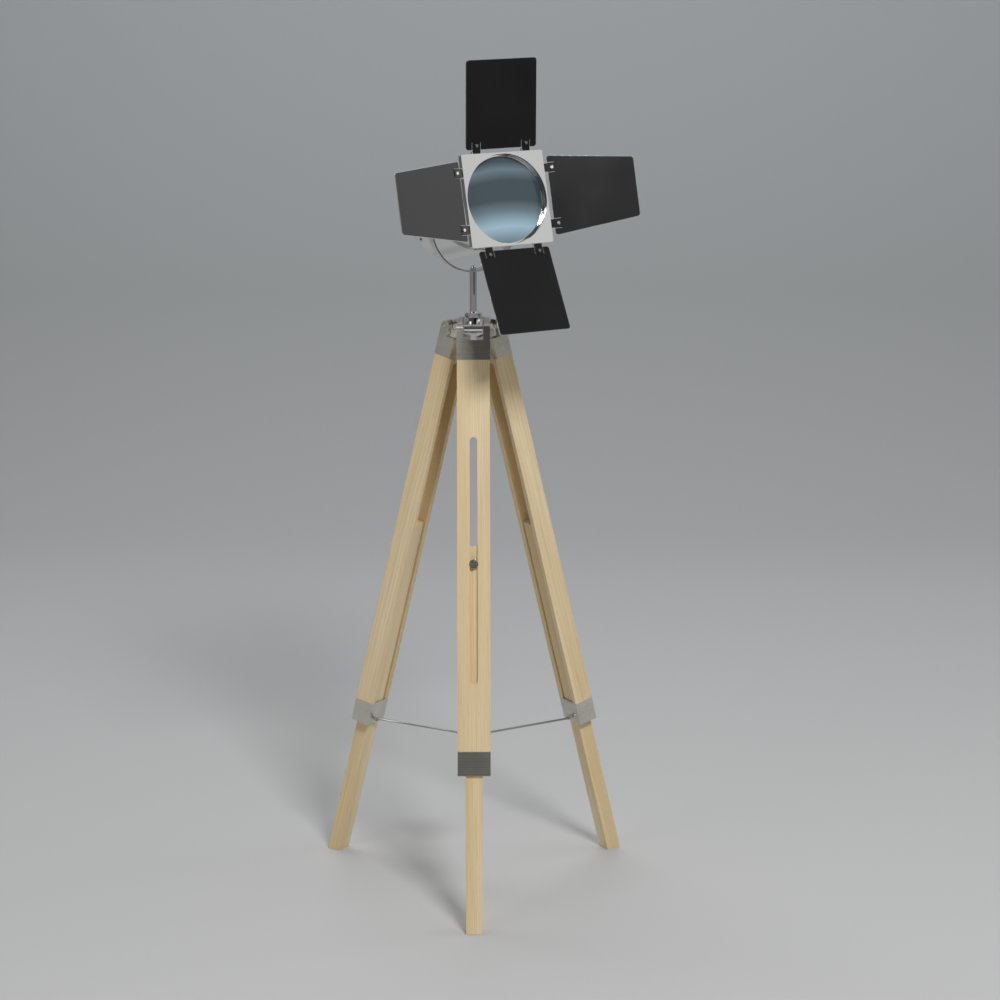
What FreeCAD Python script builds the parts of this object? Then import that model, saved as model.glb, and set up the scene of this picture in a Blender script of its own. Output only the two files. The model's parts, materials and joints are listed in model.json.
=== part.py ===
import FreeCAD, Part
import math
import os
import Sketcher
from FreeCAD import Placement, Rotation, Vector

# Tripod spotlight floor lamp.
#
# Frame: millimetres, +Z up.  The origin is on the floor, on the axis of the tripod.  The front
# leg points to -Y.  Lower in the file, each group of pieces is drawn in a frame of its own:
#   leg frame   origin on the leg's hinge pin, x along the pin, y outward, z down along the leg
#   head frame  origin on the tilt axis, x to the right, y to the back, z up, seen from in front
#   door frame  origin on a door's hinge pin, x along the pin, y to the back, z out along the door

SIZES = [
    # The hub on top of the tripod
    ("pin_height", 958.0, "leg hinge pins, above the floor"),
    ("pin_radius", 38.0, "leg hinge pins, from the tripod axis"),
    ("leg_spread", 14.6, "angle of each leg from upright, in degrees"),
    ("pin_diameter", 8.0, "leg hinge pin"),
    ("pin_recess", 0.4, "pin end inside the face of the ear"),
    ("pin_dimple", 2.0, "radius of the dimple in each end of a pin"),
    ("fit_gap", 0.05, "radial gap of a pin or shaft in its bore"),
    ("seat_gap", 0.3, "gap between a moving face and what it faces"),
    ("barrel_radius", 7.0, "hinge barrel at the end of each hub arm"),
    ("barrel_side_gap", 1.0, "barrel end to the ear beside it"),
    ("hub_radius", 19.0, "round middle of the hub"),
    ("hub_top", 10.0, "top of the hub's middle, above the pins"),
    ("arm_root_radius", 13.0, "where the top of a hub arm starts to slope"),
    ("arm_root_rise", 13.5, "top of a hub arm at its root, above the pins"),
    ("arm_tip_rise", 6.3, "top of a hub arm over its barrel, above the pins"),
    ("post_diameter", 11.6, "post that carries the head"),
    ("post_wall", 1.5, "wall of the post tube"),
    ("post_rise", 88.0, "top of the post, above the pins"),
    ("collar_radius", 12.5, "collar round the foot of the post"),
    ("collar_height", 11.0, "collar round the foot of the post"),
    ("collar_screw_rise", 6.6, "screws of the collar, above its lower face"),
    ("hub_nut_flats", 17.0, "nut under the hub, across flats"),
    ("hub_nut_height", 6.0, "nut under the hub"),
    ("post_tail", 1.0, "post below the hub nut"),
    ("screw_radius", 1.9, "small screws of the hub and the collar"),
    ("screw_head_radius", 3.0, "heads of those screws"),
    ("screw_head_height", 2.0, "heads of those screws"),
    ("screw_depth", 5.0, "shank of those screws"),
    ("hub_screw_circle", 15.9, "circle of the hub's upright screws"),
    # Leg brackets
    ("bracket_width", 55.0, "bracket on the top of a leg"),
    ("bracket_shoulder", 17.0, "top of the bracket's box, below the pin"),
    ("bracket_end", 52.0, "lower rim of the bracket, below the pin"),
    ("bracket_wall", 2.5, "wall of the bracket's box"),
    ("bracket_roof", 5.5, "roof of the bracket's box"),
    ("ear_spacing", 32.0, "clear width between the two ears"),
    ("notch_depth", 19.5, "floor of the notch between the ears, below the pin"),
    ("ear_radius", 7.5, "round end of an ear, and pin line to the leg's outer face"),
    ("corner_cut", 5.0, "cut on the bracket's inner corners, which lets the legs close"),
    # Upper legs
    ("leg_width", 54.0, "upper leg"),
    ("leg_depth", 33.5, "upper leg, from its outer to its inner face"),
    ("leg_end", 732.0, "lower end of the upper leg, below the pin"),
    ("channel_width", 33.0, "channel in which the lower leg slides"),
    ("channel_top", 62.0, "upper end of the channel, below the pin"),
    ("outer_wall", 5.0, "wood between the channel and the outer face"),
    ("slot_width", 12.4, "slot for the clamp screw"),
    ("slot_top", 178.6, "upper end of the slot, below the pin"),
    ("slot_bottom", 582.0, "lower end of the slot, below the pin"),
    ("band_height", 40.0, "metal band round the lower end"),
    ("band_wall", 1.5, "wall of the band"),
    # Lower legs
    ("slider_width", 27.5, "lower leg"),
    ("slider_depth", 25.0, "lower leg"),
    ("slider_gap", 0.5, "lower leg to the floor of the channel"),
    ("slider_top", 356.5, "upper end of the lower leg, below the pin"),
    ("clamp_station", 386.0, "clamp screw, below the pin"),
    ("clamp_shank_radius", 2.75, "clamp screw"),
    ("clamp_shank_depth", 15.0, "clamp screw in the lower leg"),
    ("clamp_hole_spare", 0.6, "depth of its hole past the screw's tip"),
    ("clamp_head_radius", 5.35, "head of the clamp screw"),
    ("clamp_head_height", 4.0, "head of the clamp screw"),
    ("clamp_washer_radius", 7.6, "washer under that head"),
    ("clamp_washer_height", 1.0, "washer under that head"),
    ("driver_width", 1.2, "slot in a screw head"),
    ("driver_depth", 1.0, "slot in a screw head"),
    # Spreader
    ("rod_radius", 1.75, "spreader rod"),
    ("rod_station", 724.0, "rod pivot, below the leg's pin"),
    ("rod_offset", 5.0, "rod pivot, in front of the leg's inner face"),
    ("rod_stop", 26.5, "inner end of a rod, from the tripod axis"),
    ("rod_hook", 7.5, "bent end of a rod, through its tab"),
    ("tab_thickness", 2.0, "tab on the band that holds the rod"),
    ("tab_gap", 0.8, "rod to the side of its tab"),
    ("tab_radius", 4.0, "round end of a tab"),
    ("lug_radius", 3.2, "lug under the plate that holds the front rod"),
    ("lug_hook", 5.2, "bent end of the front rod, through that lug"),
    ("plate_radius", 29.0, "plate in the middle of the spreader"),
    ("plate_thickness", 2.0, "plate in the middle of the spreader"),
    # Yoke and tilt
    ("head_yaw", 29.4, "turn of the yoke and head to the right, in degrees"),
    ("head_tilt", 14.55, "tilt of the head, nose up, in degrees"),
    ("yoke_drop", 22.0, "centre of the yoke's round part, below the tilt axis"),
    ("yoke_side_gap", 5.2, "yoke to the side of the can"),
    ("yoke_thickness", 2.5, "yoke strip"),
    ("yoke_width", 14.0, "yoke strip"),
    ("stud_radius", 2.5, "stud on which the yoke turns"),
    ("stud_plug", 12.0, "length of the stud's plug in the post"),
    ("cap_nut_flats", 7.6, "nut on that stud, across flats"),
    ("cap_nut_height", 8.0, "nut on that stud, with its dome"),
    ("tilt_shank_radius", 3.0, "screw of a tilt knob"),
    ("tilt_head_radius", 12.0, "tilt knob"),
    ("tilt_head_length", 12.0, "tilt knob"),
    ("tilt_screw_length", 10.0, "screw of a tilt knob, inside the bush"),
    ("flute_count", 12, "finger grooves round a tilt knob"),
    ("flute_radius", 1.9, "finger groove"),
    ("flute_offset", 0.8, "centre of a finger groove, outside the knob's edge"),
    ("bush_radius", 7.0, "threaded bush in the side of the can"),
    ("bush_depth", 6.0, "bush inside the can"),
    # Lamp head
    ("can_radius", 74.0, "lamp can"),
    ("can_wall", 1.2, "lamp can and its rear cap"),
    ("can_back", 78.0, "rear end of the can's tube, behind the tilt axis"),
    ("cap_depth", 31.0, "rear cap"),
    ("cap_shoulder", 28.0, "rounded shoulder of the rear cap"),
    ("skirt_depth", 8.0, "rim of the rear cap inside the can"),
    ("vent_count", 8, "vents in the rear cap"),
    ("vent_width", 4.0, "vent"),
    ("vent_inner", 17.0, "inner end of a vent, from the can's axis"),
    ("vent_outer", 35.0, "outer end of a vent, from the can's axis"),
    ("cap_screw_radius", 1.4, "screws that hold the rear cap"),
    ("cap_screw_head", 2.8, "heads of those screws"),
    ("front_reach", 116.6, "front face of the plate, in front of the tilt axis"),
    ("front_margin", 1.0, "front plate beyond the can, on each side"),
    ("front_sheet", 0.8, "sheet of the front plate"),
    ("front_fold", 9.0, "folded edge of the front plate"),
    ("front_corner", 3.0, "corner radius of the front plate"),
    ("lens_recess", 13.0, "lens edge behind the plate's face"),
    ("ring_width", 2.8, "ring that holds the lens, seen from in front"),
    ("lens_edge", 3.5, "edge of the lens"),
    ("lens_bulge", 3.0, "height of the lens over its edge"),
    ("ring_height", 2.0, "ring that holds the lens"),
    ("liner_gap", 0.1, "round pieces to the inside of the can"),
    ("bowl_depth", 62.0, "reflector"),
    ("bowl_wall", 0.8, "reflector"),
    ("bowl_rim", 1.5, "thickness of the reflector's rim"),
    ("holder_radius", 19.0, "lamp holder"),
    ("holder_length", 54.0, "lamp holder"),
    ("holder_nose", 4.0, "lamp holder in front of the reflector's hole"),
    ("socket_radius", 13.3, "bore of the lamp holder"),
    ("socket_depth", 24.0, "bore of the lamp holder"),
    ("stem_radius", 5.0, "hollow stem of the lamp holder"),
    ("stem_bore", 3.0, "bore of that stem"),
    ("stem_end", 4.0, "stem behind the rear cap"),
    ("bulb_radius", 22.5, "globe of the bulb"),
    ("bulb_shoulder", 19.0, "neck of the bulb, where it leaves the globe"),
    ("bulb_reach", 19.0, "centre of the globe in front of the lamp holder"),
    ("bulb_base", 13.0, "screw base of the bulb"),
    ("gland_drop", 30.0, "cable gland below the can's axis"),
    ("gland_thread", 6.0, "gland in the wall of the cap"),
    ("gland_flats", 16.0, "gland outside the cap, across flats"),
    ("gland_height", 9.0, "gland outside the cap"),
    ("gland_inside", 8.0, "gland inside the cap"),
    ("gland_bore", 3.5, "bore of the gland, for the lead"),
    # Barn doors
    ("hinge_offset", 2.5, "door hinge outside the plate's edge"),
    ("hinge_setback", 2.5, "door hinge behind the plate's face"),
    ("hinge_spacing", 91.0, "between the two hinges of a door"),
    ("hinge_pin_radius", 1.2, "door hinge pin"),
    ("eye_radius", 2.2, "eye of a strap, round its pin"),
    ("strap_width", 13.6, "hinge strap"),
    ("strap_length", 16.0, "hinge strap, from the hinge outward"),
    ("strap_thickness", 1.0, "hinge strap"),
    ("lug_thickness", 1.2, "lug that holds a hinge pin"),
    ("lug_gap", 0.3, "lug to the strap beside it"),
    ("door_sheet", 1.0, "sheet of a door"),
    ("door_width", 130.0, "door, beside its hinge"),
    ("door_tip_width", 97.2, "side doors, at the outer end"),
    ("door_start", 4.0, "door's edge, from the hinge"),
    ("door_reach", 147.0, "door's outer edge, from the hinge"),
    ("door_corner", 5.0, "corner radius of a door"),
    ("slit_width", 0.9, "slits beside a strap"),
    ("slit_offset", 0.6, "slit to the strap beside it"),
    ("rivet_station", 11.0, "screw of a strap, from the hinge"),
    ("rivet_radius", 1.3, "screw of a strap"),
    ("rivet_head", 2.6, "head of that screw"),
    ("rivet_head_height", 1.4, "head of that screw"),
    ("rivet_nut", 2.1, "radius of the nut on that screw"),
    ("rivet_tail", 0.8, "height of that nut"),
    ("lean_top", 15.0, "top door in front of the plate's plane, in degrees"),
    ("lean_right", 20.0, "right door, in degrees"),
    ("lean_bottom", 15.0, "bottom door, in degrees"),
    ("lean_left", 16.0, "left door, in degrees"),
]

doc = FreeCAD.newDocument("SpotlightLamp")
sheet = doc.addObject("Spreadsheet::Sheet", "Sizes")
for row, (alias, number, meaning) in enumerate(SIZES, start=1):
    sheet.set(f"A{row}", meaning)
    sheet.set(f"B{row}", str(number))
    sheet.setAlias(f"B{row}", alias)
doc.recompute()


class Size:
    """A number together with the spreadsheet expression that gives it."""

    def __init__(self, number, text):
        self.number = float(number)
        self.text = text

    def __float__(self):
        return self.number

    def __add__(self, other):
        other = as_size(other)
        return Size(self.number + other.number, f"({self.text} + {other.text})")

    def __sub__(self, other):
        other = as_size(other)
        return Size(self.number - other.number, f"({self.text} - {other.text})")

    def __mul__(self, other):
        other = as_size(other)
        return Size(self.number * other.number, f"({self.text} * {other.text})")

    def __truediv__(self, other):
        other = as_size(other)
        return Size(self.number / other.number, f"({self.text} / {other.text})")

    def __neg__(self):
        return Size(-self.number, f"(0 - {self.text})")

    def __radd__(self, other):
        return as_size(other) + self

    def __rsub__(self, other):
        return as_size(other) - self

    def __rmul__(self, other):
        return as_size(other) * self


def as_size(value):
    """Wrap a plain number, so that it can stand in an expression."""
    return value if isinstance(value, Size) else Size(value, f"({value})")


def cosine(angle):
    return Size(math.cos(math.radians(float(angle))), f"cos({angle.text})")


def sine(angle):
    return Size(math.sin(math.radians(float(angle))), f"sin({angle.text})")


class Sheet:
    """Read-only access to the sizes by name, such as S.leg_width."""

    def __getattr__(self, alias):
        return Size(sheet.get(alias), f"Sizes.{alias}")


S = Sheet()

# ---------------------------------------------------------------- building blocks

# Turns that carry +Z onto another direction.
AXES = {
    "X": Rotation(Vector(0, 1, 0), 90),
    "Y": Rotation(Vector(1, 0, 0), -90),
    "Z": Rotation(),
}
UPWARD = Rotation()
FORWARD = Rotation(Vector(1, 0, 0), 90)
BACKWARD = Rotation(Vector(1, 0, 0), -90)
PLANES = {"XY": "XY_Plane", "XZ": "XZ_Plane", "YZ": "YZ_Plane"}
QUARTER = 90
# A corner cut at 45 degrees gets shorter by this share of the wall when its outline is drawn in.
CORNER_SHARE = 2 - math.sqrt(2)
NODES = []


def bind(obj, **sizes):
    """Tie properties of an object to expressions."""
    for name, value in sizes.items():
        obj.setExpression(name, as_size(value).text)


def locate(obj, x, y, z, rotation=None):
    """Place an object, with its three coordinates tied to expressions."""
    point = [as_size(value) for value in (x, y, z)]
    obj.Placement = Placement(Vector(*[float(p) for p in point]), rotation or Rotation())
    for letter, value in zip("xyz", point):
        obj.setExpression(f"Placement.Base.{letter}", value.text)
    return obj


def block(x, y, z):
    """A box between two coordinates on each axis."""
    obj = doc.addObject("Part::Box", "Block")
    bind(obj, Length=as_size(x[1]) - x[0], Width=as_size(y[1]) - y[0], Height=as_size(z[1]) - z[0])
    return locate(obj, x[0], y[0], z[0])


def rod(axis, start, radius, length):
    """A cylinder from a start point along X, Y or Z."""
    obj = doc.addObject("Part::Cylinder", "Rod")
    bind(obj, Radius=radius, Height=length)
    return locate(obj, *start, AXES[axis])


def cone(axis, start, radius, end_radius, length):
    """A cone from a start point along X, Y or Z."""
    obj = doc.addObject("Part::Cone", "Cone")
    bind(obj, Radius1=radius, Radius2=end_radius, Height=length)
    return locate(obj, *start, AXES[axis])


def ball(centre, radius):
    obj = doc.addObject("Part::Sphere", "Ball")
    bind(obj, Radius=radius)
    return locate(obj, *centre)


def hexagon(axis, start, flats, length):
    """A hexagonal bar from a start point along X, Y or Z."""
    obj = doc.addObject("Part::Prism", "Hexagon")
    obj.Polygon = 6
    bind(obj, Circumradius=as_size(flats) / math.sqrt(3), Height=length)
    return locate(obj, *start, AXES[axis])


def fuse(*pieces):
    obj = doc.addObject("Part::MultiFuse", "Joined")
    obj.Shapes = list(pieces)
    obj.Refine = True
    return obj


def cut(base, *tools):
    """A piece with the tools taken out of it."""
    obj = doc.addObject("Part::Cut", "Cut")
    obj.Base = base
    obj.Tool = tools[0] if len(tools) == 1 else fuse(*tools)
    obj.Refine = True
    return obj


def group(pieces):
    """Separate solids that share one node."""
    obj = doc.addObject("Part::Compound", "Group")
    obj.Links = list(pieces)
    return obj


def turned(piece, axis, degrees):
    """A piece turned about an axis through the origin."""
    obj = group([piece])
    obj.Placement = Placement(Vector(), Rotation(axis, degrees))
    return obj


def rounded(base, radius, chosen):
    """Round the edges for which chosen(edge) is true."""
    doc.recompute()
    picked = [i for i, edge in enumerate(base.Shape.Edges, start=1) if chosen(edge)]
    obj = doc.addObject("Part::Fillet", "Rounded")
    obj.Base = base
    obj.Edges = [(i, float(radius), float(radius)) for i in picked]
    return obj


def prism(plane, points, start, length):
    """A body padded from a polygon; each corner is tied to a pair of expressions."""
    body = doc.addObject("PartDesign::Body", "Prism")
    sketch = body.newObject("Sketcher::SketchObject", "Outline")
    origin = {feature.Role: feature for feature in body.Origin.OriginFeatures}
    sketch.AttachmentSupport = [(origin[PLANES[plane]], "")]
    sketch.MapMode = "FlatFace"
    sketch.setExpression("AttachmentOffset.Base.z", as_size(start).text)
    corners = [(as_size(x), as_size(y)) for x, y in points]
    spots = [Vector(float(x), float(y), 0) for x, y in corners]
    count = len(spots)
    for i in range(count):
        sketch.addGeometry(Part.LineSegment(spots[i], spots[(i + 1) % count]), False)
    for i in range(count):
        sketch.addConstraint(Sketcher.Constraint("Coincident", i, 2, (i + 1) % count, 1))
    for i, (x, y) in enumerate(corners):
        for kind, value in (("DistanceX", x), ("DistanceY", y)):
            index = sketch.addConstraint(
                Sketcher.Constraint(kind, -1, 1, i, 1, float(value)))
            sketch.setExpression(f"Constraints[{index}]", value.text)
    pad = body.newObject("PartDesign::Pad", "Pad")
    pad.Profile = sketch
    pad.setExpression("Length", as_size(length).text)
    return body


def node(label, obj, place=None):
    """Name a finished piece and put it where it belongs."""
    doc.recompute()
    obj.Label = label
    if place is not None:
        obj.Placement = place.multiply(obj.Placement)
    NODES.append(obj)
    return obj


# ---------------------------------------------------------------- shared places

pin_bore = S.pin_diameter / 2 + S.fit_gap
barrel_length = S.ear_spacing - 2 * S.barrel_side_gap
hub_floor = -S.barrel_radius
inner_face = S.ear_radius - S.leg_depth
room_top = S.bracket_shoulder + S.bracket_roof
channel_floor = S.ear_radius - S.outer_wall
slider_front = channel_floor - S.slider_gap
slider_back = slider_front - S.slider_depth
rod_line = inner_face - S.rod_offset
post_radius = S.post_diameter / 2
yoke_inside = S.can_radius + S.yoke_side_gap
yoke_radius = yoke_inside + S.yoke_thickness
pivot_rise = S.post_rise + S.seat_gap + yoke_radius + S.yoke_drop
can_inside = S.can_radius - S.can_wall
lens_radius = can_inside - S.ring_width
front_face = -S.front_reach
lens_face = front_face + S.lens_recess
lens_back = lens_face + S.lens_edge
liner_radius = can_inside - S.liner_gap
bowl_front = lens_back + S.bowl_rim
cap_back = S.can_back + S.cap_depth
front_half = S.can_radius + S.front_margin
hinge_radius = front_half + S.hinge_offset
hinge_line = front_face + S.hinge_setback
lug_reach = S.strap_width / 2 + S.lug_gap + S.lug_thickness

AZIMUTHS = {"front": 0, "left": -120, "right": 120}
DOOR_TURNS = {"top": 0, "right": 1, "bottom": 2, "left": 3}
SIDE_DOORS = ("left", "right")


def turn_place(degrees):
    return Placement(Vector(), Rotation(Vector(0, 0, 1), degrees))


def hub_place():
    return Placement(Vector(0, 0, float(S.pin_height)), Rotation())


def leg_place(side):
    """Where a leg's frame stands in the lamp."""
    hinge = Vector(0, -float(S.pin_radius), float(S.pin_height))
    lean = Rotation(Vector(1, 0, 0), 180 - float(S.leg_spread))
    return turn_place(AZIMUTHS[side]).multiply(Placement(hinge, lean))


def yoke_place():
    pivot = Vector(0, 0, float(S.pin_height + pivot_rise))
    return Placement(pivot, Rotation(Vector(0, 0, 1), float(S.head_yaw)))


def head_place():
    tilt = Placement(Vector(), Rotation(Vector(1, 0, 0), -float(S.head_tilt)))
    return yoke_place().multiply(tilt)


def door_place(side):
    """Where a door's frame stands in the lamp, with the door leaning forward."""
    lean = float(getattr(S, f"lean_{side}"))
    hinge = Placement(
        Vector(0, float(hinge_line), float(hinge_radius)), Rotation(Vector(1, 0, 0), lean))
    turn = Placement(Vector(), Rotation(Vector(0, 1, 0), QUARTER * DOOR_TURNS[side]))
    return head_place().multiply(turn).multiply(hinge)


# ---------------------------------------------------------------- hub and post

def screw(seat, facing, shank, depth, head, height):
    """A slotted screw; its head sits on a point and faces away from the surface there."""
    body = fuse(rod("Z", (0, 0, -depth), shank, depth), rod("Z", (0, 0, 0), head, height))
    slot = block((-head, head), (-S.driver_width / 2, S.driver_width / 2),
                 (height - S.driver_depth, height))
    return locate(cut(body, slot), *seat, facing)


def hub_arm(azimuth):
    """One arm of the hub, from the middle out to its hinge barrel, at the front."""
    low = as_size(hub_floor)
    outline = [
        (0, low), (-S.pin_radius, low), (-S.pin_radius, S.arm_tip_rise),
        (-S.arm_root_radius, S.arm_root_rise), (0, S.arm_root_rise)]
    web = prism("YZ", outline, -barrel_length / 2, barrel_length)
    barrel = rod("X", (-barrel_length / 2, -S.pin_radius, 0), S.barrel_radius, barrel_length)
    bore = rod("X", (-barrel_length / 2, -S.pin_radius, 0), pin_bore, barrel_length)
    return turned(cut(fuse(web, barrel), bore), Vector(0, 0, 1), azimuth)


def make_hub():
    middle = rod("Z", (0, 0, hub_floor), S.hub_radius, S.hub_top - hub_floor)
    arms = [hub_arm(azimuth) for azimuth in AZIMUTHS.values()]
    post_hole = rod("Z", (0, 0, hub_floor), post_radius + S.fit_gap, S.hub_top - hub_floor)
    holes = [
        turned(rod("Z", (0, S.hub_screw_circle, S.hub_top - S.screw_depth),
                   S.screw_radius + S.fit_gap, S.screw_depth), Vector(0, 0, 1), azimuth)
        for azimuth in AZIMUTHS.values()]
    sinks = [
        turned(rod("Z", (0, S.hub_screw_circle, S.hub_top),
                   S.screw_head_radius + S.seat_gap, S.arm_root_rise),
               Vector(0, 0, 1), azimuth) for azimuth in AZIMUTHS.values()]
    seat = rod("Z", (0, 0, S.hub_top), S.collar_radius + S.seat_gap, S.arm_root_rise)
    spider = cut(fuse(middle, *arms), seat, post_hole, *holes, *sinks)
    node("hub_spider", spider, hub_place())

    collar = rod("Z", (0, 0, S.hub_top), S.collar_radius, S.collar_height)
    bore = rod("Z", (0, 0, S.hub_top), post_radius + S.fit_gap, S.collar_height)
    level = S.hub_top + S.collar_screw_rise
    taps = [
        turned(rod("Y", (0, 0, level), S.screw_radius + S.fit_gap, S.collar_radius),
               Vector(0, 0, 1), azimuth) for azimuth in AZIMUTHS.values()]
    node("post_collar", cut(collar, bore, *taps), hub_place())

    screws = []
    for azimuth in AZIMUTHS.values():
        upright = screw((0, S.hub_screw_circle, S.hub_top), UPWARD, S.screw_radius,
                        S.screw_depth, S.screw_head_radius, S.screw_head_height)
        radial = screw((0, S.collar_radius, level), BACKWARD, S.screw_radius,
                       S.screw_depth, S.screw_head_radius, S.screw_head_height)
        screws += [turned(upright, Vector(0, 0, 1), azimuth),
                   turned(radial, Vector(0, 0, 1), azimuth)]
    node("hub_screws", group(screws), hub_place())


def make_post():
    nut_floor = hub_floor - S.hub_nut_height
    bottom = nut_floor - S.post_tail
    tube_inside = post_radius - S.post_wall
    length = S.post_rise - bottom
    tube = cut(rod("Z", (0, 0, bottom), post_radius, length),
               rod("Z", (0, 0, bottom), tube_inside, length))
    node("post_tube", tube, hub_place())

    nut = cut(hexagon("Z", (0, 0, nut_floor), S.hub_nut_flats, S.hub_nut_height),
              rod("Z", (0, 0, nut_floor), post_radius + S.fit_gap, S.hub_nut_height))
    node("hub_nut", nut, hub_place())

    plug = rod("Z", (0, 0, S.post_rise - S.stud_plug), tube_inside - S.fit_gap, S.stud_plug)
    nut_rise = S.seat_gap + S.yoke_thickness + S.seat_gap
    nut_seat = S.post_rise + nut_rise
    dome_radius = S.cap_nut_flats / 2
    body_height = S.cap_nut_height - dome_radius
    stem = rod("Z", (0, 0, S.post_rise), S.stud_radius, nut_rise + body_height - S.seat_gap)
    node("swivel_stud", fuse(plug, stem), hub_place())

    cap_nut = cut(
        fuse(hexagon("Z", (0, 0, nut_seat), S.cap_nut_flats, body_height),
             ball((0, 0, nut_seat + body_height), dome_radius)),
        rod("Z", (0, 0, nut_seat), S.stud_radius + S.fit_gap, body_height))
    node("swivel_nut", cap_nut, hub_place())


# ---------------------------------------------------------------- legs

def section(half, outer, inner, floor, channel):
    """The U-shaped section of an upper leg, seen along the leg."""
    return [(-half, outer), (half, outer), (half, inner), (channel, inner),
            (channel, floor), (-channel, floor), (-channel, inner), (-half, inner)]


def trimmed_section(wall):
    """The bracket's section with its trimmed inner corners, drawn in by a wall."""
    half = S.bracket_width / 2 - wall
    outer = S.ear_radius - wall
    inner = inner_face + wall
    corner = S.corner_cut - wall * CORNER_SHARE
    return [(-half, outer), (half, outer), (half, inner + corner), (half - corner, inner),
            (corner - half, inner), (-half, inner + corner)]


def make_bracket(side):
    half = S.bracket_width / 2
    notch = S.ear_spacing / 2
    outer = S.ear_radius
    box = prism("XY", trimmed_section(0), S.bracket_shoulder,
                S.bracket_end - S.bracket_shoulder)
    room = prism("XY", trimmed_section(S.bracket_wall), room_top, S.bracket_end - room_top)
    ears = [block((low, high), (-S.ear_radius, S.ear_radius), (0, S.bracket_shoulder))
            for low, high in ((-half, -notch), (notch, half))]
    ends = [rod("X", (low, 0, 0), S.ear_radius, half - notch) for low in (-half, notch)]
    gap = block((-notch, notch), (inner_face, outer), (-outer, S.notch_depth))
    bore = rod("X", (-half, 0, 0), pin_bore, S.bracket_width)
    bracket = cut(fuse(box, *ears, *ends), room, gap, bore)
    node(f"leg_bracket_{side}", bracket, leg_place(side))


def make_hinge_pin(side):
    half = S.bracket_width / 2 - S.pin_recess
    pin = rod("X", (-half, 0, 0), S.pin_diameter / 2, 2 * half)
    dimples = [rod("X", (start, 0, 0), S.pin_dimple, S.driver_depth)
               for start in (-half, half - S.driver_depth)]
    node(f"hinge_pin_{side}", cut(pin, *dimples), leg_place(side))


def make_upper_leg(side):
    half = S.leg_width / 2
    channel = S.channel_width / 2
    wall = S.band_wall
    band_top = S.leg_end - S.band_height
    open_part = prism("XY", section(half, S.ear_radius, inner_face, channel_floor, channel),
                      S.channel_top, band_top - S.channel_top)
    banded = prism("XY", section(half - wall, S.ear_radius - wall, inner_face + wall,
                                 channel_floor, channel), band_top, S.band_height)
    head = block((-half, half), (inner_face, S.ear_radius), (S.bracket_end, S.channel_top))
    tenon = prism("XY", trimmed_section(S.bracket_wall), room_top, S.bracket_end - room_top)
    radius = S.slot_width / 2
    first = S.slot_top + radius
    last = S.slot_bottom - radius
    slot = fuse(
        block((-radius, radius), (channel_floor, S.ear_radius), (first, last)),
        rod("Y", (0, channel_floor, first), radius, S.outer_wall),
        rod("Y", (0, channel_floor, last), radius, S.outer_wall))
    node(f"upper_leg_{side}", cut(fuse(open_part, banded, head, tenon), slot), leg_place(side))


def make_band(side):
    half = S.leg_width / 2
    wall = S.band_wall
    top = S.leg_end - S.band_height
    sleeve = cut(
        block((-half, half), (inner_face, S.ear_radius), (top, S.leg_end)),
        block((wall - half, half - wall), (inner_face + wall, S.ear_radius - wall),
              (top, S.leg_end)))
    start = S.rod_radius + S.tab_gap
    tab = fuse(
        block((start, start + S.tab_thickness), (rod_line, inner_face),
              (S.rod_station - S.tab_radius, S.rod_station + S.tab_radius)),
        rod("X", (start, rod_line, S.rod_station), S.tab_radius, S.tab_thickness))
    hole = rod("X", (start, rod_line, S.rod_station), S.rod_radius + S.fit_gap,
               S.tab_thickness)
    node(f"leg_band_{side}", cut(fuse(sleeve, tab), hole), leg_place(side))


def foot_depth(y):
    """How far down the leg the floor lies, at a distance y outward of the pin line."""
    return (S.pin_height + sine(S.leg_spread) * y) / cosine(S.leg_spread)


def make_slider(side):
    outline = [(slider_front, S.slider_top), (slider_front, foot_depth(slider_front)),
               (slider_back, foot_depth(slider_back)), (slider_back, S.slider_top)]
    bar = prism("YZ", outline, -S.slider_width / 2, S.slider_width)
    hole_depth = S.clamp_shank_depth + S.clamp_hole_spare
    hole = rod("Y", (0, slider_front - hole_depth, S.clamp_station),
               S.clamp_shank_radius + S.fit_gap, hole_depth)
    node(f"lower_leg_{side}", cut(bar, hole), leg_place(side))


def make_clamp(side):
    face = S.ear_radius + S.liner_gap
    head_seat = face + S.clamp_washer_height + S.liner_gap
    tip = slider_front - S.clamp_shank_depth
    washer = cut(
        rod("Y", (0, face, S.clamp_station), S.clamp_washer_radius, S.clamp_washer_height),
        rod("Y", (0, face, S.clamp_station), S.clamp_shank_radius + S.fit_gap,
            S.clamp_washer_height))
    node(f"clamp_washer_{side}", washer, leg_place(side))
    shank = rod("Y", (0, tip, S.clamp_station), S.clamp_shank_radius, head_seat - tip)
    head = rod("Y", (0, head_seat, S.clamp_station), S.clamp_head_radius, S.clamp_head_height)
    top = head_seat + S.clamp_head_height
    slot = block((-S.clamp_head_radius, S.clamp_head_radius), (top - S.driver_depth, top),
                 (S.clamp_station - S.driver_width / 2, S.clamp_station + S.driver_width / 2))
    node(f"clamp_screw_{side}", cut(fuse(shank, head), slot), leg_place(side))


# ---------------------------------------------------------------- spreader

rod_circle = S.pin_radius + S.rod_station * sine(S.leg_spread) + rod_line * cosine(S.leg_spread)
rod_height = S.pin_height - S.rod_station * cosine(S.leg_spread) + rod_line * sine(S.leg_spread)


def spreader_place(side):
    """Frame of a rod: origin on the tripod axis at the rods' height, -y toward the leg."""
    return turn_place(AZIMUTHS[side]).multiply(Placement(Vector(0, 0, float(rod_height)), Rotation()))


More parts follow.
